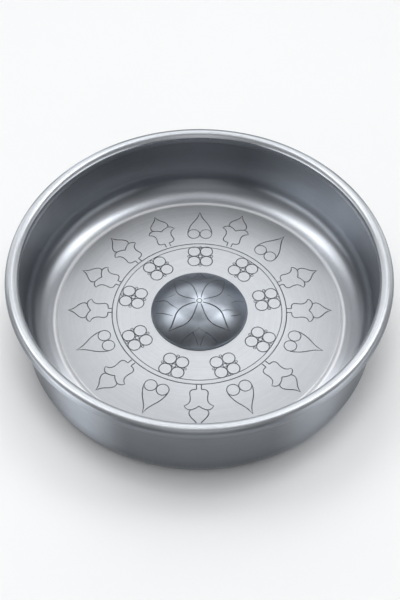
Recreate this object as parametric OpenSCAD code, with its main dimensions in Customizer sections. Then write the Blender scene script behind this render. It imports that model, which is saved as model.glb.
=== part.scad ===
// Hammam bowl with a raised boss in the middle of its floor.
// The bowl is one sheet, spun and pressed: a floor, a broad hollow round it, an upright wall and a rim rolled
// outwards over a stiffening wire. A foot band, soldered flush under the wall, carries it clear of the ground.
// The boss is a separate dome, soldered to the floor by its foot.
// Millimetres, +Z up, origin on the axis at the level that the bowl stands on.

/* [Rim] */
// Outside diameter over the rolled rim
rim_d = 200; // [160:1:240]
// Diameter of the wire inside the rim
wire_d = 5; // [3:0.1:6]
// Play between the wire and the sheet that is rolled over it
wire_play = 0.1; // [0.05:0.01:0.2]
// Gap between the butted ends of the wire
wire_gap = 0.6; // [0.2:0.1:2]
// How far the sheet wraps round the wire, in degrees
curl_wrap = 302; // [270:1:306]

/* [Bowl] */
// Height over all
bowl_h = 50.5; // [42:0.5:70]
// Thickness of the sheet
sheet_t = 1; // [0.7:0.1:1.3]
// Lean of the wall from upright, in degrees
wall_draft = 0.6; // [0:0.1:4]
// Inside radius of the broad hollow between the wall and the floor
hollow_r = 13.5; // [10:0.5:16]
// Flat width at the bottom of the hollow
hollow_w = 0.5; // [0.5:0.5:4]
// Height of the floor's upper face above the ground
floor_h = 11; // [8:0.5:14]
// Height of the step from the hollow up to the floor
step_h = 1; // [0.5:0.1:2]
// Radius at the foot of that step
step_r = 3; // [2:0.5:5]
// Radius of the rounded edge of the floor
shoulder_r = 2; // [1.5:0.5:4]

/* [Foot] */
// Inside radius of the bend at the bottom of the foot band
foot_bend_r = 5; // [3:0.5:8]
// Width of the flat ring that the bowl stands on
land_w = 6; // [3:0.5:10]
// Thickness of the solder between the foot band and the bowl
seam_t = 0.2; // [0.1:0.05:0.3]

/* [Ring lines] */
// Radius of the outer engraved line round the boss
outer_line_r = 47; // [40:0.5:60]
// Radius of the inner engraved line round the boss
inner_line_r = 44.5; // [36:0.5:45]
// Width of an engraved line at the surface
line_w = 0.8; // [0.4:0.1:1.2]
// Depth of an engraved line
line_depth = 0.3; // [0.1:0.05:0.5]

/* [Boss] */
// Diameter of the boss at its foot
boss_d = 51.5; // [40:0.5:64]
// Height of the boss above the floor
boss_h = 9.5; // [8:0.5:16]
// Radius of the tight bend above the foot of the boss
boss_bend_r = 1.5; // [1.5:0.5:6]
// Upright part of the boss below that bend
boss_skirt = 0.4; // [0.4:0.1:2]
// Thickness of the boss
boss_t = 0.8; // [0.5:0.1:1.2]
// Thickness of the solder between the foot and the floor
solder_t = 0.2; // [0.1:0.05:0.3]
// Leg of the solder fillet inside the boss
solder_leg = 1.2; // [0.8:0.1:2]
// How far the solder shows outside the foot
solder_lip = 0.3; // [0.1:0.05:0.6]

/* [Hidden] */
$fn = 96;
// Largest turn between two points of an arc, in degrees
arc_step = 5;

// Rolled rim: centre and radii of its section
curl_in_r = wire_d / 2 + wire_play;
curl_out_r = curl_in_r + sheet_t;
curl_c = [rim_d / 2 - curl_out_r, bowl_h - curl_out_r];

// Wall: unit vector that points from the wall's inner face to the axis, and its tangent point on the curl
wall_in = [-cos(wall_draft), sin(wall_draft)];
wall_top = curl_c + curl_out_r * wall_in;

// Distance from the axis of the centre of a bend that touches the wall's inner face
function bend_x(r, z) = wall_top.x - (r - (z - wall_top.y) * wall_in.y) / -wall_in.x;

// Hollow between the wall and the floor: its centre lies above its lowest point
hollow_h = floor_h - step_h;
hollow_z = hollow_h + hollow_r;
hollow_c = [bend_x(hollow_r, hollow_z), hollow_z];

// Step from the hollow up to the floor: two opposite bends that meet at one slope
step_angle = acos(1 - step_h / (step_r + shoulder_r));
step_run = (step_r + shoulder_r) * sin(step_angle);
step_c = [hollow_c.x - hollow_w, hollow_h + step_r];
shoulder_c = [step_c.x - step_run, floor_h - shoulder_r];

// Foot band: its bend touches the wall's line and the ground, and its top follows the underside of the hollow
foot_z = sheet_t + foot_bend_r;
foot_c = [bend_x(foot_bend_r, foot_z), foot_z];
foot_in_x = foot_c.x - land_w;
under_r = hollow_r + sheet_t;
seam_r = under_r + seam_t;
seam_outer = 360 - wall_draft - acos(under_r / seam_r);
seam_inner = 360 - wall_draft - acos(hollow_r / seam_r);

// Boss: the crown's radius makes it meet the bend above the foot without a crease
boss_r = boss_d / 2;
bend_c = [boss_r - boss_bend_r, floor_h + boss_skirt];
crown_rise = boss_h - boss_skirt;
crown_r = (bend_c.x ^ 2 + crown_rise ^ 2 - boss_bend_r ^ 2) / (2 * (crown_rise - boss_bend_r));
crown_c = [0, floor_h + boss_h - crown_r];
crown_angle = atan2(bend_c.x, bend_c.y - crown_c.y);
boss_foot_z = floor_h + solder_t;

// Play on each side of the solder of the foot band
seam_play = 0.02;

// Colours of the finished metal
satin_grey = [0.72, 0.74, 0.77];
wire_grey = [0.55, 0.56, 0.58];
slate_grey = [0.42, 0.44, 0.48];
solder_grey = [0.6, 0.61, 0.63];

// Points of an arc round c from angle a to angle b, no further apart than the arc step
function arc(c, r, a, b) =
    let (n = ceil(abs(b - a) / arc_step))
    [for (i = [0 : n]) let (t = a + (b - a) * i / n) c + r * [cos(t), sin(t)]];

// The same points in the opposite order
function reversed(points) = [for (i = [len(points) - 1 : -1 : 0]) points[i]];

// Corners of an engraved line's notch in the floor's upper face
function notch(r) = [
    [r - line_w / 2, floor_h],
    [r, floor_h - line_depth],
    [r + line_w / 2, floor_h]
];

// One face of the bowl's sheet in section, at depth k below its upper face: shoulder, step, hollow, curl
function bowl_face(k) = concat(
    arc(shoulder_c, shoulder_r - k, 90, 90 - step_angle),
    arc(step_c, step_r + k, 270 - step_angle, 270),
    arc(hollow_c, hollow_r + k, 270, 360 - wall_draft),
    arc(curl_c, curl_out_r - k, 180 - wall_draft, 180 - wall_draft - curl_wrap)
);

// One face of the foot band in section, at depth k outside its inner face: standing ring and bend
function foot_face(k) = concat(
    [[foot_in_x, sheet_t - k]],
    arc(foot_c, foot_bend_r + k, 270, 360 - wall_draft)
);

// One face of the boss in section, at depth k below its upper face: crown, bend, foot
function boss_face(k) = concat(
    arc(crown_c, crown_r - k, 90, 90 - crown_angle),
    arc(bend_c, boss_bend_r - k, 90 - crown_angle, 0),
    [[boss_r - k, boss_foot_z]]
);

module bowl_body() {
    color(satin_grey) rotate_extrude() polygon(concat(
        [[0, floor_h]],
        notch(inner_line_r),
        notch(outer_line_r),
        bowl_face(0),
        reversed(bowl_face(sheet_t)),
        [[0, floor_h - sheet_t]]
    ));
}

module foot_band() {
    color(satin_grey) rotate_extrude() polygon(concat(
        foot_face(sheet_t),
        reversed(arc(hollow_c, seam_r, seam_inner, seam_outer)),
        reversed(foot_face(0))
    ));
}

// Solder between the foot band and the underside of the hollow
module foot_solder() {
    color(solder_grey) rotate_extrude() polygon(concat(
        arc(hollow_c, under_r + seam_play, seam_inner, seam_outer),
        reversed(arc(hollow_c, seam_r - seam_play, seam_inner, seam_outer))
    ));
}

module rim_wire() {
    gap_angle = 2 * asin(wire_gap / 2 / curl_c.x);
    color(wire_grey) rotate([0, 0, gap_angle / 2]) rotate_extrude(angle = 360 - gap_angle)
        translate(curl_c) circle(d = wire_d);
}

module boss_dome() {
    color(slate_grey) rotate_extrude() polygon(concat(boss_face(0), reversed(boss_face(boss_t))));
}

// Solder: a film under the foot, a fillet inside the boss and a narrow lip outside it
module boss_solder() {
    inside_r = boss_r - boss_t;
    color(solder_grey) rotate_extrude() polygon([
        [inside_r - solder_leg, floor_h],
        [boss_r + solder_lip, floor_h],
        [boss_r, boss_foot_z],
        [inside_r, boss_foot_z],
        [inside_r, min(boss_foot_z + solder_leg / 2, bend_c.y)]
    ]);
}

bowl_body();
foot_band();
foot_solder();
rim_wire();
boss_dome();
boss_solder();
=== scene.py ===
"""Hammam bowl: a spun metal bath bowl with a rolled rim, a foot band, an engraved floor and a domed boss."""

import math

import bmesh
import bpy
from bpy.props import FloatProperty, FloatVectorProperty, IntProperty, PointerProperty
from bpy.types import Operator, Panel, PropertyGroup
from mathutils import Matrix, Vector


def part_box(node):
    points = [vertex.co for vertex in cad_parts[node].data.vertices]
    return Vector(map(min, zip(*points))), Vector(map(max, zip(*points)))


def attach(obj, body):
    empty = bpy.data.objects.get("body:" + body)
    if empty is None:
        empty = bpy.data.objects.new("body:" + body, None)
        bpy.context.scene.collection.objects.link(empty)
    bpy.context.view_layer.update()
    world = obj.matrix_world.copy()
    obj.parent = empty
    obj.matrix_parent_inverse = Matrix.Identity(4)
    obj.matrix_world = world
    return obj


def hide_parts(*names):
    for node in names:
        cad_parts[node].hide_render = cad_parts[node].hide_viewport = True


bl_info = {
    "name": "Hammam bowl",
    "version": (1, 0, 0),
    "blender": (4, 5, 0),
    "location": "3D View > Sidebar > Hammam bowl",
    "description": "Spun metal bath bowl with a rolled rim, a foot band, an engraved floor and a domed boss",
    "category": "Add Mesh",
}

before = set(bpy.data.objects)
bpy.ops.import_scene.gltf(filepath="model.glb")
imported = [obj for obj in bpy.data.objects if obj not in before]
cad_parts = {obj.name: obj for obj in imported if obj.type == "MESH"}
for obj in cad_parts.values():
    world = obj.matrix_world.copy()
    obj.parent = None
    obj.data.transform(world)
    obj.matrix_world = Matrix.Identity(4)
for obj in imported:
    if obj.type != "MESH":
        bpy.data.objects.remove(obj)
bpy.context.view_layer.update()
BOWL_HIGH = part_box("bowl_body")[1]
BOSS_LOW, BOSS_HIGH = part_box("boss_dome")

MM = 0.001
FULL_TURN = 2 * math.pi

# Largest turn between two points of a bend, in degrees
FINE_STEP = 6.0
COARSE_STEP = 12.0
SEAM_STEP = 3.0
CROWN_STEP = 1.2
CROWN_BACK_STEP = 4.0

# Points closer than this are one, and a ring is level if its points differ less than this
WELD = 0.002 * MM
LEVEL = 0.01 * MM

# Edges that bend more than this stay sharp, and how strongly large faces rule the shading beside them
SHARP_DEGREES = 32
FACE_WEIGHT = 100


def length(name, description, default):
    """A size in metres that the sidebar shows with its unit."""
    return FloatProperty(name=name, description=description, default=default, unit="LENGTH", precision=5)


def angle(name, description, degrees):
    """An angle that the sidebar shows in degrees."""
    return FloatProperty(name=name, description=description, default=math.radians(degrees), subtype="ANGLE")


def colour(name, description, default):
    """A linear colour with a swatch."""
    return FloatVectorProperty(
        name=name, description=description, default=default, size=3, subtype="COLOR", min=0, max=1
    )


class HammamBowlSizes(PropertyGroup):
    """Section of the bowl's sheet and of its foot band."""

    rim_radius: length("Rim radius", "Outside radius over the rolled rim", BOWL_HIGH.x)
    height: length("Height", "Height over all", BOWL_HIGH.z)
    sheet: length("Sheet", "Thickness of the sheet", 1.0 * MM)
    curl_radius: length("Curl radius", "Outside radius of the rolled rim's section", 3.6 * MM)
    curl_wrap: angle("Curl wrap", "How far the sheet wraps round the rim wire", 302)
    wall_draft: angle("Wall draft", "Lean of the wall from upright", 0.6)
    floor_height: length("Floor height", "Height of the floor's upper face", 11.0 * MM)
    hollow_radius: length("Hollow radius", "Radius of the broad hollow between wall and floor", 13.5 * MM)
    hollow_width: length("Hollow width", "Flat width at the bottom of the hollow", 0.5 * MM)
    step_height: length("Step height", "Height of the step from the hollow up to the floor", 1.0 * MM)
    step_radius: length("Step radius", "Radius at the foot of that step", 3.0 * MM)
    shoulder_radius: length("Shoulder radius", "Radius of the rounded edge of the floor", 2.0 * MM)
    foot_bend: length("Foot bend", "Inside radius of the bend at the bottom of the foot band", 5.0 * MM)
    land: length("Standing ring", "Width of the flat ring that the bowl stands on", 6.0 * MM)
    seam: length("Seam", "Gap that is left where the foot band is dressed flush with the wall", 0.005 * MM)
    steps: IntProperty(name="Steps", description="Faces round the bowl", default=240, min=48)


class HammamBossSizes(PropertyGroup):
    """Section of the boss."""

    radius: length("Radius", "Radius of the boss at its foot", BOSS_HIGH.x)
    top: length("Top", "Height of the crown above the ground", BOSS_HIGH.z)
    foot: length("Foot", "Height of the foot's edge above the ground", BOSS_LOW.z)
    bend_radius: length("Bend radius", "Radius of the tight bend above the foot", 1.5 * MM)
    skirt: length("Skirt", "Upright part below the bend, above the bowl's floor", 0.4 * MM)
    sheet: length("Sheet", "Thickness of the boss", 0.8 * MM)
    steps: IntProperty(name="Steps", description="Faces round the boss", default=200, min=48)


class HammamEngravingSizes(PropertyGroup):
    """Engraved lines and where the motifs lie."""

    line_width: length("Line width", "Width of an engraved line at the surface", 0.62 * MM)
    line_depth: length("Line depth", "Depth of an engraved line", 0.30 * MM)
    outer_ring: length("Outer ring", "Radius of the outer line round the boss", 47.0 * MM)
    inner_ring: length("Inner ring", "Radius of the inner line round the boss", 44.5 * MM)
    quatrefoil_ring: length("Quatrefoil ring", "Radius that the quatrefoils are centred on", 37.25 * MM)


class HammamFinishes(PropertyGroup):
    """Colours of the metal and of the ground."""

    floor_metal: colour("Floor", "Satin metal of the floor", (0.695, 0.712, 0.737))
    # The hollow's pale colour is partly a painted highlight next to the floor
    hollow_metal_and_highlight: colour("Hollow", "Burnished metal of the hollow round the floor", (0.72, 0.75, 0.8))
    # The edge colour is a painted highlight along the edge of the floor
    edge_painted_highlight: colour("Edge", "Bright worn metal along the edge of the floor", (0.93, 0.94, 0.96))
    # The inner wall's dark colour is painted shade on the metal
    wall_metal_painted_shade: colour("Inner wall", "Dark metal of the inner wall", (0.26, 0.28, 0.31))
    outside_metal: colour("Outside", "Metal of the outer wall and the foot band", (0.2, 0.214, 0.235))
    # The rim colour is a painted highlight along the top of the rolled rim
    rim_painted_highlight: colour("Rim", "Polished metal of the rolled rim", (0.83, 0.86, 0.9))
    boss_metal: colour("Boss", "Dark grey metal of the boss", (0.5, 0.54, 0.6))
    engraved_metal: colour("Engraving", "Darkened metal in the engraved lines", (0.29, 0.3, 0.32))
    wire_metal: colour("Rim wire", "Drawn wire inside the rim", (0.42, 0.43, 0.45))
    wire_stain: colour("Wire stain", "Darker stain on the wire", (0.30, 0.29, 0.28))
    solder_metal: colour("Solder", "Solder of the boss and the foot band", (0.36, 0.37, 0.39))
    solder_stain: colour("Solder stain", "Darker skin on the solder", (0.20, 0.205, 0.215))
    ground: colour("Ground", "Pale ground that the bowl stands on", (0.90, 0.90, 0.90))


# Drawing in section

def arc(centre, radius, start, end, step):
    """Points of an arc in the section plane, from one angle to another in degrees."""
    count = max(1, math.ceil(abs(end - start) / step))
    points = []
    for i in range(count + 1):
        turn = math.radians(start + (end - start) * i / count)
        points.append((centre[0] + radius * math.cos(turn), centre[1] + radius * math.sin(turn)))
    return points


class BowlSection:
    """Centres of the bends of the bowl's sheet and its foot band, worked out from their sizes."""

    def __init__(self, sizes):
        self.sizes = sizes
        curl = sizes.curl_radius
        self.draft = math.degrees(sizes.wall_draft)
        self.wrap = math.degrees(sizes.curl_wrap)
        self.curl_centre = (sizes.rim_radius - curl, sizes.height - curl)
        self.wall_in = (-math.cos(sizes.wall_draft), math.sin(sizes.wall_draft))
        self.wall_top = (
            self.curl_centre[0] + curl * self.wall_in[0], self.curl_centre[1] + curl * self.wall_in[1]
        )
        self.wall_middle = self.wall_top[0] + sizes.sheet / 2
        low = sizes.floor_height - sizes.step_height
        self.hollow_centre = self.bend_centre(sizes.hollow_radius, low)
        bends = sizes.step_radius + sizes.shoulder_radius
        self.step_angle = math.degrees(math.acos(1 - sizes.step_height / bends))
        step_x = self.hollow_centre[0] - sizes.hollow_width
        self.step_centre = (step_x, low + sizes.step_radius)
        shoulder_x = step_x - bends * math.sin(math.radians(self.step_angle))
        self.shoulder_centre = (shoulder_x, sizes.floor_height - sizes.shoulder_radius)
        self.foot_centre = self.bend_centre(sizes.foot_bend, sizes.sheet)

    def bend_centre(self, radius, low):
        """Centre of a bend that touches the wall's inner face, with its lowest point at a height."""
        z = low + radius
        lean = (z - self.wall_top[1]) * self.wall_in[1]
        return (self.wall_top[0] - (radius - lean) / -self.wall_in[0], z)

    def face(self, depth, step):
        """One face of the sheet, at a depth below its upper face: shoulder, step, hollow and curl."""
        s = self.sizes
        rise = self.step_angle
        start = 180 - self.draft
        return (
            arc(self.shoulder_centre, s.shoulder_radius - depth, 90, 90 - rise, step)
            + arc(self.step_centre, s.step_radius + depth, 270 - rise, 270, step)[1:]
            + arc(self.hollow_centre, s.hollow_radius + depth, 270, 360 - self.draft, 0.5 * step)
            + arc(self.curl_centre, s.curl_radius - depth, start, start - self.wrap, step)
        )

    def outline(self):
        """The sheet from the edge of the floor's upper face round the rim to the edge of its lower face."""
        return self.face(0.0, FINE_STEP) + self.face(self.sizes.sheet, COARSE_STEP)[::-1]

    def foot_outline(self):
        """The foot band from its inner edge round the standing ring up to the seam, and back inside."""
        s = self.sizes
        seam = s.hollow_radius + s.sheet + s.seam
        upright = 360 - self.draft
        outer = upright - math.degrees(math.acos((s.hollow_radius + s.sheet) / seam))
        inner = upright - math.degrees(math.acos(s.hollow_radius / seam))
        edge = self.foot_centre[0] - s.land
        return (
            [(edge, 0.0)]
            + arc(self.foot_centre, s.foot_bend + s.sheet, 270, upright, FINE_STEP)
            + arc(self.hollow_centre, seam, outer, inner, SEAM_STEP)
            + arc(self.foot_centre, s.foot_bend, upright, 270, COARSE_STEP)
            + [(edge, s.sheet), (edge, 0.0)]
        )


class BossSection:
    """Centres of the bends of the boss, worked out from its sizes."""

    def __init__(self, sizes, floor_height):
        self.sizes = sizes
        self.bend_centre = (sizes.radius - sizes.bend_radius, floor_height + sizes.skirt)
        rise = sizes.top - floor_height - sizes.skirt
        reach = self.bend_centre[0]
        bend = sizes.bend_radius
        self.crown_radius = (reach ** 2 + rise ** 2 - bend ** 2) / (2 * (rise - bend))
        self.crown_centre = (0.0, sizes.top - self.crown_radius)
        self.crown_angle = math.degrees(math.atan2(reach, self.bend_centre[1] - self.crown_centre[1]))

    def face(self, depth, crown_step, bend_step):
        """One face of the boss, at a depth below its upper face: crown, bend and foot."""
        s = self.sizes
        edge = 90 - self.crown_angle
        return (
            arc(self.crown_centre, self.crown_radius - depth, 90, edge, crown_step)
            + arc(self.bend_centre, s.bend_radius - depth, edge, 0, bend_step)[1:]
            + [(s.radius - depth, s.foot)]
        )

    def outline(self):
        """The boss from the crown of its upper face round the foot to the crown of its lower face."""
        under = self.face(self.sizes.sheet, CROWN_BACK_STEP, COARSE_STEP)
        return self.face(0.0, CROWN_STEP, FINE_STEP) + under[::-1]

    def height_at(self, radius):
        """Height of the crown's upper face at a distance from the axis."""
        return self.crown_centre[1] + math.sqrt(self.crown_radius ** 2 - radius ** 2)


# Modelling

def only(piece):
    """Select one object alone and make it the active one."""
    bpy.ops.object.select_all(action="DESELECT")
    piece.select_set(True)
    bpy.context.view_layer.objects.active = piece


def turned_sheet(name, outline, steps):
    """Draw a section point by point and spin it once round the axis."""
    bpy.ops.object.select_all(action="DESELECT")
    bpy.ops.mesh.primitive_plane_add(size=2 * MM)
    piece = bpy.context.object
    piece.name = name
    piece.data.name = name
    bpy.ops.object.mode_set(mode="EDIT")
    bpy.ops.mesh.merge(type="CENTER")
    x, z = outline[0]
    bpy.ops.transform.translate(value=(x, 0, z))
    for (x0, z0), (x1, z1) in zip(outline, outline[1:]):
        bpy.ops.mesh.extrude_region_move(TRANSFORM_OT_translate={"value": (x1 - x0, 0, z1 - z0)})
    bpy.ops.mesh.select_all(action="SELECT")
    bpy.ops.mesh.spin(steps=steps, angle=FULL_TURN, center=(0, 0, 0), axis=(0, 0, 1))
    bpy.ops.mesh.select_all(action="SELECT")
    bpy.ops.mesh.remove_doubles(threshold=WELD)
    bpy.ops.object.mode_set(mode="OBJECT")
    return piece


def close_rings(piece, heights=()):
    """Fill the open ring at each height with one flat face, then turn all faces outwards."""
    only(piece)
    bpy.ops.object.mode_set(mode="EDIT")
    mesh = bmesh.from_edit_mesh(piece.data)
    for height in heights:
        bpy.ops.mesh.select_all(action="DESELECT")
        for edge in mesh.edges:
            level = all(abs(v.co.z - height) < LEVEL for v in edge.verts)
            edge.select_set(level and edge.is_boundary)
        bmesh.update_edit_mesh(piece.data)
        bpy.ops.mesh.edge_face_add()
    bpy.ops.mesh.select_all(action="SELECT")
    bpy.ops.mesh.normals_make_consistent(inside=False)
    bpy.ops.object.mode_set(mode="OBJECT")


# Engraving: each stroke is a list of points in plan, in millimetres

class Stroke:
    """One line of the graver: its points, whether it closes, its weight and how its two ends thin out."""

    def __init__(self, points, closed=False, weight=1.0, ends=(1.0, 1.0)):
        self.points = points
        self.closed = closed
        self.weight = weight
        self.ends = ends

    def moved(self, change):
        """The same stroke with each point passed through a change of place."""
        return Stroke([change(p) for p in self.points], self.closed, self.weight, self.ends)


def ring(centre, radius, points=8, weight=1.0):
    """A closed round stroke."""
    turns = [FULL_TURN * k / points for k in range(points)]
    around = [(centre[0] + radius * math.cos(t), centre[1] + radius * math.sin(t)) for t in turns]
    return Stroke(around, closed=True, weight=weight)


def both_sides(strokes):
    """Strokes on one side of a motif's axis together with their mirror images."""
    return strokes + [s.moved(lambda p: (p[0], -p[1])) for s in strokes]


def swung(stroke, degrees):
    """A stroke drawn outwards along the motif's axis, swung clockwise from the far side."""
    turn = math.radians(degrees)
    sine, cosine = math.sin(turn), math.cos(turn)
    return stroke.moved(lambda p: (p[0] * sine + p[1] * cosine, p[0] * cosine - p[1] * sine))


TULIP = both_sides([
    Stroke([(46.2, 1.29), (49, 1.29)]),
    Stroke([
        (49.03, 1.31), (49.13, 3.16), (49.84, 4.28), (51.16, 4.75), (52.98, 4.51), (54.8, 4.42),
        (56.62, 4.84), (57.93, 5.95), (58.74, 7.63),
    ], ends=(1.0, 0.6)),
    Stroke([
        (58.74, 7.63), (60.15, 6.79), (60.96, 5.58), (61.17, 4.28), (60.76, 2.79), (59.95, 1.21),
        (58.94, 0),
    ], ends=(0.6, 1.0)),
    Stroke([
        (61.17, 3.91), (61.97, 4.75), (63.29, 5.02), (64.91, 4.46), (66.52, 3.26), (68.14, 1.77),
        (69.76, 0.75), (71.98, 0),
    ], ends=(0.5, 0.4)),
])

HEART = both_sides([
    ring((52.8, 3.42), 3.3, weight=0.9),
    Stroke([
        (51.56, 6.6), (54.09, 6.7), (57.12, 5.98), (60.15, 4.64), (63.19, 2.68), (65.92, 1.13),
        (69.66, 0),
    ], ends=(0.5, 0.4)),
])

# Motif, bearing in degrees, how far it lies outwards in millimetres, and how much it is stretched
MOTIFS = [
    (HEART, 0.3, 1.2, 0.97), (TULIP, 20.1, 1.0, 0.94), (HEART, 42.5, 1.6, 0.985),
    (TULIP, 66.8, -0.3, 0.91), (TULIP, 89.6, 0.1, 0.94), (HEART, 111.7, 0.4, 1.01),
    (TULIP, 134.8, 1.4, 1.01), (HEART, 157.3, 0.6, 1.02), (TULIP, 180.2, 1.3, 1.01),
    (HEART, 204.2, 0.9, 1.01), (TULIP, 226.5, 1.5, 1.01), (HEART, 248.5, 0.1, 1.0),
    (TULIP, 270.5, -0.4, 0.94), (TULIP, 293.4, -0.6, 0.91), (TULIP, 315.7, 0.3, 0.95),
    (TULIP, 339.0, 0.6, 0.905),
]
# Distance from the axis at which a motif keeps its place when it is stretched, in millimetres
MOTIF_MIDDLE = 60.0

# Bearing of each quatrefoil in degrees, and how far it lies outside its ring in millimetres
QUATREFOILS = [
    (0.8, 0.7), (40.3, 0.1), (77.9, 0.0), (120.0, 0.1), (159.2, 0.4),
    (200.7, 0.5), (241.8, 0.1), (284.7, -0.2), (322.2, -0.1),
]

# Rings of a quatrefoil in millimetres, and the weight of the lighter ones
PETAL_OFFSET = 4.85
PETAL_RADIUS = 3.35
EYE_RADIUS = 1.05
EYE_WEIGHT = 0.8
PELLET_OFFSET = 6.35
PELLET_RADIUS = 0.66
PELLET_WEIGHT = 0.7

# Rings round the boss, and the ring at the top of the boss in millimetres
RING_POINTS = 60
INNER_RING_WEIGHT = 0.8
BOSS_EYE_RADIUS = 1.35

# Lines on the left half of the boss that the right half repeats
BOSS_PETALS = [
    Stroke([
        (-1.9, -0.95), (-5.85, -2.1), (-9.5, -3.9), (-11.8, -6.2), (-13.3, -9.8), (-14.85, -13.7),
        (-16.2, -15.8),
    ], weight=1.35, ends=(0.7, 0.4)),
    Stroke([
        (-16.2, -15.8), (-12.2, -14.9), (-8.55, -14.0), (-5.5, -12.1), (-3.05, -8.25), (-1.7, -4.35),
        (-0.85, -1.8),
    ], weight=1.1, ends=(0.4, 0.6)),
    Stroke([
        (-2.3, 0.95), (-5.2, 2.0), (-8.0, 3.2), (-10.5, 5.0), (-12.2, 7.6), (-13.0, 11.0), (-13.5, 14.8),
        (-13.6, 18.3),
    ], weight=0.9, ends=(0.7, 0.4)),
    Stroke([
        (-0.9, 1.95), (-1.5, 4.9), (-2.4, 7.9), (-4.0, 11.7), (-6.1, 14.5), (-9.2, 16.8), (-13.6, 18.3),
    ], weight=0.9, ends=(0.7, 0.4)),
]

# Lines at the near end of the boss's left half, that the right half and the far end repeat
BOSS_END_SEPALS = [
    Stroke([(-9.6, -22.5), (-8.15, -21.15), (-6.3, -19.65), (-3.5, -17.9)], weight=0.9, ends=(0.5, 1.0)),
    Stroke([(-3.5, -17.9), (-1.95, -20.9), (-0.9, -23.3), (-0.5, -24.4)], weight=0.8, ends=(1.0, 0.5)),
    Stroke([(-3.4, -17.8), (-1.5, -16.9), (0.6, -15.6)], weight=0.5, ends=(0.6, 0.4)),
]

# Lines at the two sides of the boss
BOSS_LEFT_SEPALS = [
    Stroke([
        (-24.0, 4.5), (-21.1, 3.7), (-18.2, 2.7), (-15.1, -0.8), (-11.6, -4.2),
    ], weight=0.8, ends=(0.4, 0.5)),
    Stroke([(-23.2, -3.6), (-20.6, -4.6), (-17.5, -6.1), (-14.1, -8.0)], weight=0.8, ends=(0.4, 0.5)),
    Stroke([(-17.7, 4.8), (-14.8, 5.2), (-12.5, 6.1)], weight=0.6, ends=(0.4, 0.4)),
]

BOSS_RIGHT_SEPALS = [
    Stroke([(12.0, -5.5), (13.6, -4.6), (15.8, -4.0), (18.3, -3.8)], weight=0.8, ends=(0.5, 0.4)),
    Stroke([(17.1, 0.8), (20.3, 3.4), (22.8, 4.1), (24.1, 3.9)], weight=0.7, ends=(0.4, 0.4)),
    Stroke([(16.7, -7.3), (19.5, -6.2), (22.3, -4.6)], weight=0.8, ends=(0.4, 0.5)),
    Stroke([(13.1, 6.8), (15.9, 5.9), (18.7, 5.0)], weight=0.6, ends=(0.4, 0.4)),
]


def placed(strokes, degrees, along):
    """A motif's strokes with their places along its axis changed, swung to their bearing."""
    return [swung(s.moved(lambda p: (along(p[0]), p[1])), degrees) for s in strokes]


def quatrefoil():
    """Four round petals about a small eye, with a pellet in each notch, about the motif's own centre."""
    strokes = [ring((0, 0), EYE_RADIUS, weight=EYE_WEIGHT)]
    for eighth in range(8):
        turn = math.radians(45 * eighth)
        petal = eighth % 2 == 1
        offset, radius, weight = (
            (PETAL_OFFSET, PETAL_RADIUS, 1.0) if petal else (PELLET_OFFSET, PELLET_RADIUS, PELLET_WEIGHT)
        )
        centre = (offset * math.cos(turn), offset * math.sin(turn))
        strokes.append(ring(centre, radius, weight=weight))
    return strokes


def floor_strokes(sizes):
    """All lines on the floor: two rings, the tulips and hearts outside them, the quatrefoils inside."""
    strokes = [
        ring((0, 0), sizes.outer_ring / MM, RING_POINTS),
        ring((0, 0), sizes.inner_ring / MM, RING_POINTS, INNER_RING_WEIGHT),
    ]
    for motif, degrees, out, stretch in MOTIFS:
        strokes += placed(motif, degrees, lambda x: MOTIF_MIDDLE + (x - MOTIF_MIDDLE) * stretch + out)
    for degrees, out in QUATREFOILS:
        centre = sizes.quatrefoil_ring / MM + out
        strokes += placed(quatrefoil(), degrees, lambda x: x + centre)
    return strokes


def boss_strokes():
    """All lines on the boss: an eye, four long petals and the sepals between them."""
    strokes = [ring((0, 0), BOSS_EYE_RADIUS, weight=EYE_WEIGHT)] + BOSS_LEFT_SEPALS + BOSS_RIGHT_SEPALS
    for side in (-1, 1):
        strokes += [s.moved(lambda p: (side * p[0], p[1])) for s in BOSS_PETALS]
        for end in (-1, 1):
            strokes += [s.moved(lambda p: (side * p[0], end * p[1])) for s in BOSS_END_SEPALS]
    return strokes


# Graver: how far it reaches above the metal and widens there, and the bend in its sides as shares of half
# its width and of its depth
GRAVER_OVER = 0.12 * MM
GRAVER_FLARE = 0.06 * MM
GRAVER_BEND = (0.5, 0.62)

# Faces along each part of a curved cut
FLOOR_CUT_STEPS = 5
BOSS_CUT_STEPS = 6

# Cell of the grid that tells which strokes lie apart, in millimetres
APART_CELL = 1.1


def graver_point(width, depth):
    """Section of the graver: a rounded V that widens again above the metal."""
    half = width / 2
    bend_x, bend_y = GRAVER_BEND[0] * half, -GRAVER_BEND[1] * depth
    points = [
        (-half - GRAVER_FLARE, GRAVER_OVER), (-bend_x, bend_y), (0, -depth),
        (bend_x, bend_y), (half + GRAVER_FLARE, GRAVER_OVER),
    ]
    outline = bpy.data.curves.new("graver_point", "CURVE")
    outline.dimensions = "2D"
    spline = outline.splines.new("POLY")
    spline.points.add(len(points) - 1)
    for point, (x, y) in zip(spline.points, points):
        point.co = (x, y, 0, 1)
    spline.use_cyclic_u = True
    graver = bpy.data.objects.new("graver_point", outline)
    bpy.context.collection.objects.link(graver)
    return graver


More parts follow.
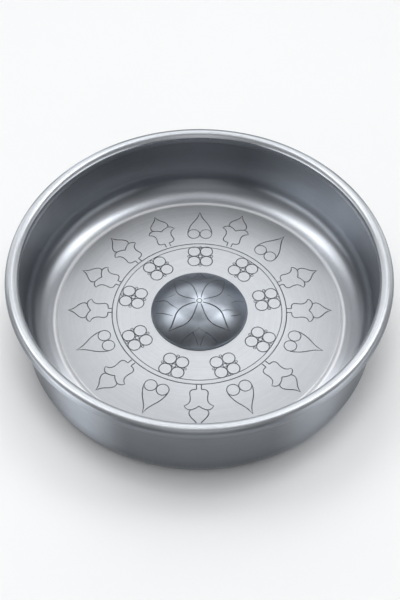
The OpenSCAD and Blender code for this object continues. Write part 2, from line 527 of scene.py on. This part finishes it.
def graver_cuts(name, strokes, sizes, resolution):
    """Sweep the graver along flat strokes and give the swept cuts as one mesh."""
    graver = graver_point(sizes.line_width, sizes.line_depth)
    bpy.ops.object.select_all(action="DESELECT")
    bpy.ops.curve.primitive_bezier_curve_add()
    cuts = bpy.context.object
    cuts.name = name
    drawing = cuts.data
    drawing.splines.clear()
    drawing.dimensions = "3D"
    drawing.twist_mode = "Z_UP"
    drawing.bevel_mode = "OBJECT"
    drawing.bevel_object = graver
    drawing.use_fill_caps = True
    for stroke in strokes:
        spline = drawing.splines.new("BEZIER")
        count = len(stroke.points)
        spline.bezier_points.add(count - 1)
        for k, (point, (x, y)) in enumerate(zip(spline.bezier_points, stroke.points)):
            point.co = (x * MM, y * MM, 0)
            point.handle_left_type = "AUTO"
            point.handle_right_type = "AUTO"
            point.radius = stroke.weight
            if not stroke.closed and k in (0, count - 1):
                point.radius = stroke.weight * stroke.ends[0 if k == 0 else 1]
        spline.use_cyclic_u = stroke.closed
        spline.resolution_u = resolution
    only(cuts)
    bpy.ops.object.convert(target="MESH")
    cuts = bpy.context.object
    bpy.data.objects.remove(graver)
    only(cuts)
    bpy.ops.object.mode_set(mode="EDIT")
    bpy.ops.mesh.select_all(action="SELECT")
    bpy.ops.mesh.remove_doubles(threshold=WELD)
    bpy.ops.mesh.normals_make_consistent(inside=False)
    bpy.ops.object.mode_set(mode="OBJECT")
    return cuts


def lift(cuts, height_at):
    """Raise flat cuts onto a surface, whose height is known at each distance from the axis."""
    for vertex in cuts.data.vertices:
        vertex.co.z += height_at(math.hypot(vertex.co.x, vertex.co.y))


def engrave(piece, cuts, finish):
    """Cut the strokes out of a piece, and give the cut faces their own finish."""
    cuts.data.materials.clear()
    cuts.data.materials.append(finish)
    only(piece)
    bpy.ops.object.modifier_add(type="BOOLEAN")
    cut = piece.modifiers[-1]
    cut.operation = "DIFFERENCE"
    cut.solver = "MANIFOLD"
    cut.material_mode = "TRANSFER"
    cut.object = cuts
    bpy.ops.object.modifier_apply(modifier=cut.name)
    bpy.data.objects.remove(cuts)


def apart(strokes):
    """Sort strokes into passes, so that no two strokes of one pass touch."""
    passes = []
    for stroke in strokes:
        ends = stroke.points + stroke.points[:1] if stroke.closed else stroke.points
        crossed = set()
        for (x0, y0), (x1, y1) in zip(ends, ends[1:]):
            count = max(1, math.ceil(math.hypot(x1 - x0, y1 - y0) / (0.5 * APART_CELL)))
            for k in range(count + 1):
                x, y = x0 + (x1 - x0) * k / count, y0 + (y1 - y0) * k / count
                crossed.add((round(x / APART_CELL), round(y / APART_CELL)))
        near = {(i + di, j + dj) for i, j in crossed for di in (-1, 0, 1) for dj in (-1, 0, 1)}
        for taken, members in passes:
            if not near & taken:
                break
        else:
            taken, members = set(), []
            passes.append((taken, members))
        taken |= crossed
        members.append(stroke)
    return [members for taken, members in passes]


def even_shading(piece):
    """Smooth shading that keeps flat faces flat beside the cuts."""
    only(piece)
    bpy.ops.object.shade_smooth_by_angle(angle=math.radians(SHARP_DEGREES))
    bpy.ops.object.modifier_add(type="WEIGHTED_NORMAL")
    weighted = piece.modifiers[-1]
    weighted.keep_sharp = True
    weighted.weight = FACE_WEIGHT
    bpy.ops.object.modifier_apply(modifier=weighted.name)


# Finishes

LIGHTEST_METAL = 0.97
BOWL_FINISH = "bowl_sheet_worn_painted_light"

# Zones of the bowl: where each one starts and is full, from the line that it is measured from
WALL_SIDES = 0.1 * MM
FLOOR_SHADE = (40.0 * MM, 74.0 * MM)
EDGE_LINE = 1.7 * MM
EDGE_WIDTH = (0.7 * MM, 2.0 * MM)
HOLLOW_START = (1.0 * MM, 2.5 * MM)
WALL_START = (4.0 * MM, 13.0 * MM)
RIM_SKIN = (0.1 * MM, 0.6 * MM)
FOOT_SHADE = (1.0 * MM, 12.0 * MM)

# Where the painted highlight on the rim starts and ends, as shares of its radius, and how much sooner it
# ends at the back
RIM_INNER = (-1.1, -0.7)
RIM_OUTER = (0.40, 0.88)
RIM_BACK = (0.2, 0.9)
RIM_BACK_SHIFT = 0.45

# Where painted reflection and shade make the bowl paler or darker, as shares of the way from its middle to
# its side
OUTSIDE_PALE = (0.36, 0.64)
OUTSIDE_PALE_END = (0.66, 0.88)
HOLLOW_PALE = (0.35, 0.70)
HOLLOW_DARK = (0.78, 1.0)
WALL_PALE = (0.25, 0.70)
WALL_PALE_END = (0.82, 0.98)

# Painted light on the boss: a painted highlight on the crown, and a band of painted shade in front of it
CROWN_END = (1.0 * MM, 7.0 * MM)
SHADE_BAND_START = (5.5 * MM, 8.5 * MM)
SHADE_BAND_END = (11.0 * MM, 14.0 * MM)
SHADE_BAND_BACK = (-6.0 * MM, -2.0 * MM)
BOSS_CLOUD = 1.18

# Turning marks: how they drift round a piece
DRIFT_SCALE = 14.0
DRIFT_REACH = 0.006


class Value:
    """One socket of a finish; arithmetic on it adds Math nodes."""

    def __init__(self, nodes, socket):
        self.nodes = nodes
        self.socket = socket

    def math(self, operation, *terms):
        """Add one Math node."""
        return self.nodes.node("ShaderNodeMath", {"operation": operation}, dict(enumerate(terms)))

    def __add__(self, other):
        return self.math("ADD", self, other)

    def __radd__(self, other):
        return self.math("ADD", other, self)

    def __sub__(self, other):
        return self.math("SUBTRACT", self, other)

    def __rsub__(self, other):
        return self.math("SUBTRACT", other, self)

    def __mul__(self, other):
        return self.math("MULTIPLY", self, other)

    def __rmul__(self, other):
        return self.math("MULTIPLY", other, self)

    def __truediv__(self, other):
        return self.math("DIVIDE", self, other)

    def __pow__(self, other):
        return self.math("POWER", self, other)

    def __abs__(self):
        return self.math("ABSOLUTE", self)

    def rise(self, low, high):
        """A smooth mask: nought at the low value, one at the high value."""
        return self.nodes.node(
            "ShaderNodeMapRange", {"interpolation_type": "SMOOTHSTEP"},
            {"Value": self, "From Min": low, "From Max": high, "To Min": 0.0, "To Max": 1.0},
        )

    def output(self, name):
        """Another output of the same node."""
        return Value(self.nodes, self.socket.node.outputs[name])


class Nodes:
    """Node tree of a finish or of the surroundings."""

    def __init__(self, tree):
        self.tree = tree
        tree.nodes.clear()

    def node(self, kind, settings=None, sockets=None, output=0):
        """Add one node: its type, its settings, then the values or links of its sockets."""
        made = self.tree.nodes.new(kind)
        for key, setting in (settings or {}).items():
            setattr(made, key, setting)
        for key, term in (sockets or {}).items():
            socket = made.inputs[key]
            if isinstance(term, Value):
                self.tree.links.new(term.socket, socket)
            else:
                socket.default_value = term
        return Value(self, made.outputs[output]) if made.outputs else None

    def place(self):
        """Place on the piece that has the finish."""
        return self.node("ShaderNodeTexCoord", output="Object")

    def mixed(self, mask, first, second):
        """Blend two colours by a mask."""
        return self.node(
            "ShaderNodeMix", {"data_type": "RGBA", "clamp_factor": True},
            {0: mask, 6: rgba(first), 7: rgba(second)}, output=2,
        )

    def scaled(self, shade, amount):
        """A colour made lighter or darker by a value."""
        return self.node(
            "ShaderNodeVectorMath", {"operation": "SCALE"}, {"Vector": shade, "Scale": amount}
        )

    def noise(self, place, scale, detail, roughness):
        """Soft noise between nought and one."""
        return self.node(
            "ShaderNodeTexNoise", {"noise_dimensions": "3D"},
            {"Vector": place, "Scale": scale, "Detail": detail, "Roughness": roughness},
        )

    def bump(self, height, strength, distance):
        """A normal that is tilted by a fine relief."""
        return self.node(
            "ShaderNodeBump", {}, {"Height": height, "Strength": strength, "Distance": distance}
        )


def rgba(shade):
    """A colour with its alpha, or a link left as it is."""
    return shade if isinstance(shade, Value) else (*shade, 1.0)


def new_finish(name):
    """An empty material and its nodes."""
    material = bpy.data.materials.new(name)
    material.use_nodes = True
    return material, Nodes(material.node_tree)


def metal_shader(nodes, base, roughness, bump, metallic=1.0):
    """The metal shader and its output; no metal is lighter than the lightest grey."""
    lightest = (LIGHTEST_METAL, LIGHTEST_METAL, LIGHTEST_METAL)
    base = nodes.node("ShaderNodeVectorMath", {"operation": "MINIMUM"}, {0: base, 1: lightest})
    shader = nodes.node("ShaderNodeBsdfPrincipled", {}, {
        "Base Color": base, "Metallic": metallic, "Roughness": roughness, "Normal": bump,
    })
    nodes.node("ShaderNodeOutputMaterial", {}, {"Surface": shader})


class TurnedPlace:
    """Place on a turned piece: its coordinates and its distance from the axis."""

    def __init__(self, nodes):
        self.nodes = nodes
        self.place = nodes.place()
        self.x = nodes.node("ShaderNodeSeparateXYZ", {}, {0: self.place})
        self.y, self.z = self.x.output("Y"), self.x.output("Z")
        self.radius = (self.x * self.x + self.y * self.y) ** 0.5

    def turning(self):
        """A vector that follows the turning marks."""
        drift = self.nodes.noise(self.place, DRIFT_SCALE, 1.0, 0.5)
        return self.nodes.node(
            "ShaderNodeCombineXYZ", {}, {0: self.radius, 1: self.z, 2: drift * DRIFT_REACH}
        )


def bowl_finish(section, finishes):
    """Worn tinned sheet: satin floor, with painted highlights along the floor's edge, in the hollow and on
    the top of the rim, painted shade on the inner wall, towards the floor's edge and towards the foot, and
    painted reflection from side to side.
    """
    material, nodes = new_finish(BOWL_FINISH)
    at = TurnedPlace(nodes)
    radius, turning = at.radius, at.turning()
    streak = nodes.noise(turning, 900.0, 4.0, 0.6)
    fine = nodes.noise(turning, 3200.0, 2.0, 0.5)
    blotch = nodes.noise(at.place, 38.0, 4.0, 0.6)
    speck = nodes.noise(at.place, 420.0, 3.0, 0.6)

    # Zones of the sheet
    inside = 1 - radius.rise(section.wall_middle - WALL_SIDES, section.wall_middle + WALL_SIDES)
    shoulder, hollow_x = section.shoulder_centre[0], section.hollow_centre[0]
    hollow = inside * radius.rise(*(shoulder + reach for reach in HOLLOW_START))
    wall = hollow * radius.rise(*(hollow_x + reach for reach in WALL_START))
    # Painted highlight: a pale band along the rounded edge of the floor
    edge = inside * (1 - abs(radius - (shoulder + EDGE_LINE)).rise(*EDGE_WIDTH))
    (curl_x, curl_z), curl_radius = section.curl_centre, section.sizes.curl_radius
    from_curl = ((radius - curl_x) ** 2 + (at.z - curl_z) ** 2) ** 0.5
    rim = 1 - from_curl.rise(*(curl_radius + reach for reach in RIM_SKIN))
    beyond = (radius - curl_x) / curl_radius
    across, back = at.x / radius, at.y / radius
    # Painted highlight along the top of the rim; towards the back it ends sooner on the outer side
    outer_end = (beyond + RIM_BACK_SHIFT * back.rise(*RIM_BACK)).rise(*RIM_OUTER)
    rim_highlight_band = rim * beyond.rise(*RIM_INNER) * (1 - outer_end)

    # Painted light and shade: the floor darker towards its edge, the outside, the hollow and the inner wall
    # paler or darker from side to side, and the outside darker towards the foot
    side = abs(across)
    # Painted shade: the floor darker towards its edge
    floor_painted_shade = 1.10 - 0.20 * radius.rise(*FLOOR_SHADE)
    # Painted reflection: the outside paler towards both sides, more on the left; painted shade darkens it
    # towards the foot
    painted_side_reflection = side.rise(*OUTSIDE_PALE) * (1 - side.rise(*OUTSIDE_PALE_END)) * (1.0 - 0.4 * across)
    outside_tone = (1.0 + 1.5 * painted_side_reflection) * (0.7 + 0.3 * at.z.rise(*FOOT_SHADE))
    # Painted highlight and shade: the hollow paler part way out to each side, and darker at the two sides
    hollow_painted_light = 0.85 + 0.40 * side.rise(*HOLLOW_PALE) - 0.75 * side.rise(*HOLLOW_DARK)
    # Painted reflection: the inner wall paler towards its right side, less so at the very side
    wall_painted_reflection = 0.78 + 0.95 * across.rise(*WALL_PALE) * (1 - 0.7 * across.rise(*WALL_PALE_END))

    outside = nodes.scaled(finishes.outside_metal, outside_tone)
    tone = nodes.mixed(inside, outside, nodes.scaled(finishes.floor_metal, floor_painted_shade))
    tone = nodes.mixed(hollow, tone, nodes.scaled(finishes.hollow_metal_and_highlight, hollow_painted_light))
    # Painted shade: the wall's dark colour fades in up from the hollow
    tone = nodes.mixed(wall, tone, nodes.scaled(finishes.wall_metal_painted_shade, wall_painted_reflection))
    # Painted highlight along the floor's edge
    tone = nodes.mixed(edge, tone, finishes.edge_painted_highlight)
    # Painted highlight on the rim
    tone = nodes.mixed(rim_highlight_band, tone, finishes.rim_painted_highlight)
    base = nodes.scaled(tone, 0.76 + 0.20 * streak + 0.20 * blotch + 0.08 * speck)
    roughness = 0.34 + 0.08 * blotch + 0.06 * streak - 0.10 * hollow - 0.08 * rim
    metallic = 0.85 - 0.30 * hollow * (1 - wall) + 0.10 * wall + 0.03 * rim - 0.40 * edge
    relief = (0.6 * streak + 0.25 * fine + 0.25 * speck) * (1 - 0.8 * rim)
    metal_shader(nodes, base, roughness, nodes.bump(relief, 0.10, 0.05 * MM), metallic)
    return material


def boss_finish(finishes):
    """Dark grey sheet of the boss, smoother than the bowl, clouded, with a painted highlight on the crown
    and a band of painted shade in front of it.
    """
    material, nodes = new_finish("boss_sheet_dark")
    at = TurnedPlace(nodes)
    blotch = nodes.noise(at.place, 70.0, 4.0, 0.6)
    speck = nodes.noise(at.place, 600.0, 3.0, 0.6)
    cloud = tuple(BOSS_CLOUD * c for c in finishes.boss_metal)
    tone = nodes.mixed(blotch.rise(0.35, 0.7), finishes.boss_metal, cloud)
    # Painted highlight: the crown paler about its top
    crown = 1 - at.radius.rise(*CROWN_END)
    # Painted shade: a band in front of the crown darker
    band = at.radius.rise(*SHADE_BAND_START) * (1 - at.radius.rise(*SHADE_BAND_END))
    boss_painted_shade = band * (1 - at.y.rise(*SHADE_BAND_BACK))
    base = nodes.scaled(tone, 0.90 + 0.16 * speck + 0.70 * crown - 0.34 * boss_painted_shade)
    roughness = 0.25 + 0.10 * blotch + 0.05 * speck
    metal_shader(nodes, base, roughness, nodes.bump(0.7 * speck + 0.5 * blotch, 0.10, 0.06 * MM))
    return material


def engraved_finish(name, finishes):
    """Darkened metal at the bottom of the engraved lines, with brighter scratches."""
    material, nodes = new_finish(name)
    place = nodes.place()
    scratch = nodes.noise(place, 1500.0, 3.0, 0.6)
    wear = nodes.noise(place, 160.0, 3.0, 0.6)
    bright = tuple(2.0 * c for c in finishes.engraved_metal)
    base = nodes.mixed((0.5 * scratch + 0.7 * wear).rise(0.52, 0.85), finishes.engraved_metal, bright)
    roughness = 0.42 + 0.20 * scratch
    metal_shader(nodes, base, roughness, nodes.bump(scratch, 0.15, 0.05 * MM))
    return material


def wire_finish(finishes):
    """Drawn wire: long faint draw marks round the rim."""
    material, nodes = new_finish("rim_wire_drawn")
    at = TurnedPlace(nodes)
    mark = nodes.noise(at.turning(), 2200.0, 3.0, 0.6)
    stain = nodes.noise(at.place, 60.0, 3.0, 0.6)
    base = nodes.scaled(nodes.mixed(stain, finishes.wire_metal, finishes.wire_stain), 0.85 + 0.3 * mark)
    metal_shader(nodes, base, 0.34 + 0.18 * mark, nodes.bump(mark, 0.2, 0.05 * MM))
    return material


def solder_finish(finishes):
    """Dull solder with a flowed, slightly pitted skin."""
    material, nodes = new_finish("boss_solder_dull")
    place = nodes.place()
    flow = nodes.noise(place, 300.0, 3.0, 0.6)
    pits = nodes.noise(place, 1400.0, 2.0, 0.6)
    tone = nodes.mixed(flow, finishes.solder_metal, finishes.solder_stain)
    base = nodes.scaled(tone, 0.85 + 0.3 * pits)
    metal_shader(nodes, base, 0.40 + 0.2 * flow, nodes.bump(flow + 0.5 * pits, 0.3, 0.1 * MM))
    return material


def ground_finish(finishes):
    """Pale, almost matt ground with hardly visible mottling."""
    material, nodes = new_finish("pale_ground")
    place = nodes.place()
    mottle = nodes.noise(place, 6.0, 2.0, 0.5)
    base = nodes.scaled(finishes.ground, 0.985 + 0.03 * mottle)
    shader = nodes.node("ShaderNodeBsdfPrincipled", {}, {
        "Base Color": base, "Roughness": 0.5, "Specular IOR Level": 0.12,
    })
    nodes.node("ShaderNodeOutputMaterial", {}, {"Surface": shader})
    return material


def dress(piece, material):
    """Give a piece one material in place of any that it has."""
    piece.data.materials.clear()
    piece.data.materials.append(material)


# Stage

GROUND_SIZE = 8.0

# Surroundings: bearing clockwise from the back, height and spread in degrees, and brightness of each panel
PANELS = [
    (0, 16, 24, 0.5), (0, 36, 14, 0.6), (0, 50, 12, 1.2), (0, 90, 14, 0.6),
    (-28, 26, 18, 0.8), (28, 26, 18, 0.5), (-40, 66, 12, 2.0), (40, 66, 12, 2.8),
    (-62, 52, 16, 1.8), (60, 53, 12, 2.7), (-50, 4, 20, 0.9), (50, 4, 20, 0.8),
    (-95, 4, 24, 1.2), (95, 4, 24, 1.0), (-125, 4, 24, 1.3), (125, 4, 24, 1.2),
    (180, 4, 24, 0.5), (180, 40, 24, 0.4),
]
SURROUNDINGS_LEVEL = 0.06
SURROUNDINGS_TINT = (0.97, 0.985, 1.0)
# Share of a panel's spread over which it fades out
PANEL_FADE = 0.6

# Lamps: name, place, side of the square in metres, and brightness
LAMPS = [
    ("fill", (0.0, 0.0, 1.6), 2.4, 0.53),
    ("back_key", (-0.25, 0.75, 1.5), 0.8, 1.0),
    ("top_key", (0.0, -0.1, 1.6), 0.5, 8.2),
]
LAMP_AIM = (0, 0, 0.02)

# Camera: distance from a point on the axis, that point's height, the angles in degrees at which the camera
# stands above it and looks down, and the lens in pixels of a picture of this height
CAMERA_REACH = 656.572 * MM
CAMERA_POINT = 20 * MM
CAMERA_HEIGHT = 53.051
CAMERA_TILT = 53.003
LENS_PIXELS = 1231.056
SHIFT_PIXELS = 0.7
PICTURE_PIXELS = 600.0
SENSOR = 36.0
NEAREST = 0.01


def heading(bearing, height):
    """Unit vector towards a bearing and a height above the horizon."""
    turn, rise = math.radians(bearing), math.radians(height)
    return (math.cos(rise) * math.sin(turn), math.cos(rise) * math.cos(turn), math.sin(rise))


# Operators

class HAMMAM_OT_bowl(Operator):
    """Turn the bowl's sheet and engrave its floor"""

    bl_idname = "hammam.bowl"
    bl_label = "Bowl"

    def execute(self, context):
        scene = context.scene
        sizes = scene.hammam_bowl
        lines = scene.hammam_engraving
        section = BowlSection(sizes)
        bowl = turned_sheet("bowl", section.outline(), sizes.steps)
        close_rings(bowl, (sizes.floor_height, sizes.floor_height - sizes.sheet))
        dress(bowl, bowl_finish(section, scene.hammam_finishes))
        dark = engraved_finish("floor_lines_dark", scene.hammam_finishes)
        for strokes in apart(floor_strokes(lines)):
            cuts = graver_cuts("floor_cuts", strokes, lines, FLOOR_CUT_STEPS)
            lift(cuts, lambda radius: sizes.floor_height)
            engrave(bowl, cuts, dark)
        even_shading(bowl)
        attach(bowl, "root")
        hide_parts("bowl_body")
        return {"FINISHED"}


class HAMMAM_OT_foot(Operator):
    """Turn the foot band, in the same sheet as the bowl"""

    bl_idname = "hammam.foot"
    bl_label = "Foot band"

    def execute(self, context):
        scene = context.scene
        sizes = scene.hammam_bowl
        section = BowlSection(sizes)
        foot = turned_sheet("foot", section.foot_outline(), sizes.steps)
        close_rings(foot)
        dress(foot, bpy.data.materials.get(BOWL_FINISH) or bowl_finish(section, scene.hammam_finishes))
        even_shading(foot)
        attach(foot, "root")
        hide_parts("foot_band")
        return {"FINISHED"}


class HAMMAM_OT_boss(Operator):
    """Turn the boss and engrave its petals"""

    bl_idname = "hammam.boss"
    bl_label = "Boss"

    def execute(self, context):
        scene = context.scene
        sizes = scene.hammam_boss
        lines = scene.hammam_engraving
        section = BossSection(sizes, scene.hammam_bowl.floor_height)
        boss = turned_sheet("boss", section.outline(), sizes.steps)
        close_rings(boss)
        dress(boss, boss_finish(scene.hammam_finishes))
        dark = engraved_finish("boss_lines_dark", scene.hammam_finishes)
        for strokes in apart(boss_strokes()):
            cuts = graver_cuts("boss_cuts", strokes, lines, BOSS_CUT_STEPS)
            lift(cuts, section.height_at)
            engrave(boss, cuts, dark)
        even_shading(boss)
        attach(boss, "root")
        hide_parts("boss_dome")
        return {"FINISHED"}


class HAMMAM_OT_wire(Operator):
    """Finish the wire inside the rolled rim"""

    bl_idname = "hammam.wire"
    bl_label = "Rim wire"

    def execute(self, context):
        dress(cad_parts["rim_wire"], wire_finish(context.scene.hammam_finishes))
        return {"FINISHED"}


class HAMMAM_OT_solder(Operator):
    """Finish the solder of the boss and of the foot band"""

    bl_idname = "hammam.solder"
    bl_label = "Solder"

    def execute(self, context):
        solder = solder_finish(context.scene.hammam_finishes)
        for joint in ("boss_solder", "foot_solder"):
            dress(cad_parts[joint], solder)
        return {"FINISHED"}


class HAMMAM_OT_stage(Operator):
    """Lay the ground, and set the light and the camera"""

    bl_idname = "hammam.stage"
    bl_label = "Stage"

    def execute(self, context):
        scene = context.scene
        scene.view_settings.view_transform = "Standard"
        self.ground(scene)
        self.surroundings(scene)
        self.lamps()
        self.camera(scene)
        return {"FINISHED"}

    def ground(self, scene):
        """A pale plane that is not part of the piece."""
        bpy.ops.object.select_all(action="DESELECT")
        bpy.ops.mesh.primitive_plane_add(size=GROUND_SIZE)
        ground = bpy.context.object
        ground.name = "ground"
        dress(ground, ground_finish(scene.hammam_finishes))

    def surroundings(self, scene):
        """Soft panels all round, which the metal mirrors."""
        world = bpy.data.worlds.new("studio")
        scene.world = world
        world.use_nodes = True
        nodes = Nodes(world.node_tree)
        look = nodes.node("ShaderNodeTexCoord", output="Generated")
        level = SURROUNDINGS_LEVEL
        for bearing, height, spread, brightness in PANELS:
            edge = math.cos(math.radians(spread))
            towards = nodes.node(
                "ShaderNodeVectorMath", {"operation": "DOT_PRODUCT"},
                {0: look, 1: heading(bearing, height)}, output="Value",
            )
            level = level + brightness * towards.rise(edge, edge + PANEL_FADE * (1 - edge))
        shade = nodes.scaled(SURROUNDINGS_TINT, level)
        sky = nodes.node("ShaderNodeBackground", {}, {"Color": shade, "Strength": 1.0})
        nodes.node("ShaderNodeOutputWorld", {}, {"Surface": sky})

    def lamps(self):
        """Square lamps for the ground and the shadow; the metal doesn't mirror them."""
        aim = Vector(LAMP_AIM)
        for name, spot, side, radiance in LAMPS:
            place = Vector(spot)
            lamp = bpy.data.lights.new(name, "AREA")
            lamp.shape = "SQUARE"
            lamp.size = side
            lamp.energy = radiance * math.pi * side * side
            box = bpy.data.objects.new(name, lamp)
            facing = (aim - place).to_track_quat("-Z", "Y").to_matrix().to_4x4()
            box.matrix_world = Matrix.Translation(place) @ facing
            box.visible_glossy = False
            bpy.context.collection.objects.link(box)

    def camera(self, scene):
        """The front camera."""
        height = math.radians(CAMERA_HEIGHT)
        lens = bpy.data.cameras.new("camera")
        lens.lens = LENS_PIXELS * SENSOR / PICTURE_PIXELS
        lens.sensor_width = SENSOR
        lens.shift_x = SHIFT_PIXELS / PICTURE_PIXELS
        lens.clip_start = NEAREST
        camera = bpy.data.objects.new("camera", lens)
        camera.location = (
            0, -CAMERA_REACH * math.cos(height), CAMERA_POINT + CAMERA_REACH * math.sin(height)
        )
        camera.rotation_euler = (math.pi / 2 - math.radians(CAMERA_TILT), 0, 0)
        bpy.context.collection.objects.link(camera)
        scene.camera = camera


class HAMMAM_PT_panel(Panel):
    """Sidebar panel with the sizes, the finishes and one button for each step"""

    bl_idname = "HAMMAM_PT_panel"
    bl_label = "Hammam bowl"
    bl_space_type = "VIEW_3D"
    bl_region_type = "UI"
    bl_category = "Hammam bowl"

    def draw(self, context):
        for step in STEPS:
            self.layout.operator(step.bl_idname)
        for group in GROUPS:
            settings = getattr(context.scene, group)
            box = self.layout.box()
            for name in settings.__annotations__:
                box.prop(settings, name)


STEPS = (
    HAMMAM_OT_bowl, HAMMAM_OT_foot, HAMMAM_OT_boss, HAMMAM_OT_wire, HAMMAM_OT_solder, HAMMAM_OT_stage,
)

GROUPS = {
    "hammam_bowl": HammamBowlSizes,
    "hammam_boss": HammamBossSizes,
    "hammam_engraving": HammamEngravingSizes,
    "hammam_finishes": HammamFinishes,
}


def register():
    """Register the settings, the steps and the panel."""
    for kind in (*GROUPS.values(), *STEPS, HAMMAM_PT_panel):
        bpy.utils.register_class(kind)
    for name, kind in GROUPS.items():
        setattr(bpy.types.Scene, name, PointerProperty(type=kind))


def unregister():
    """Take the settings, the steps and the panel out again."""
    for name in GROUPS:
        delattr(bpy.types.Scene, name)
    for kind in reversed((*GROUPS.values(), *STEPS, HAMMAM_PT_panel)):
        bpy.utils.unregister_class(kind)


def main():
    """Build the bowl and its stage."""
    register()
    bpy.ops.hammam.bowl()
    bpy.ops.hammam.foot()
    bpy.ops.hammam.boss()
    bpy.ops.hammam.wire()
    bpy.ops.hammam.solder()
    bpy.ops.hammam.stage()


if __name__ == "__main__":
    main()
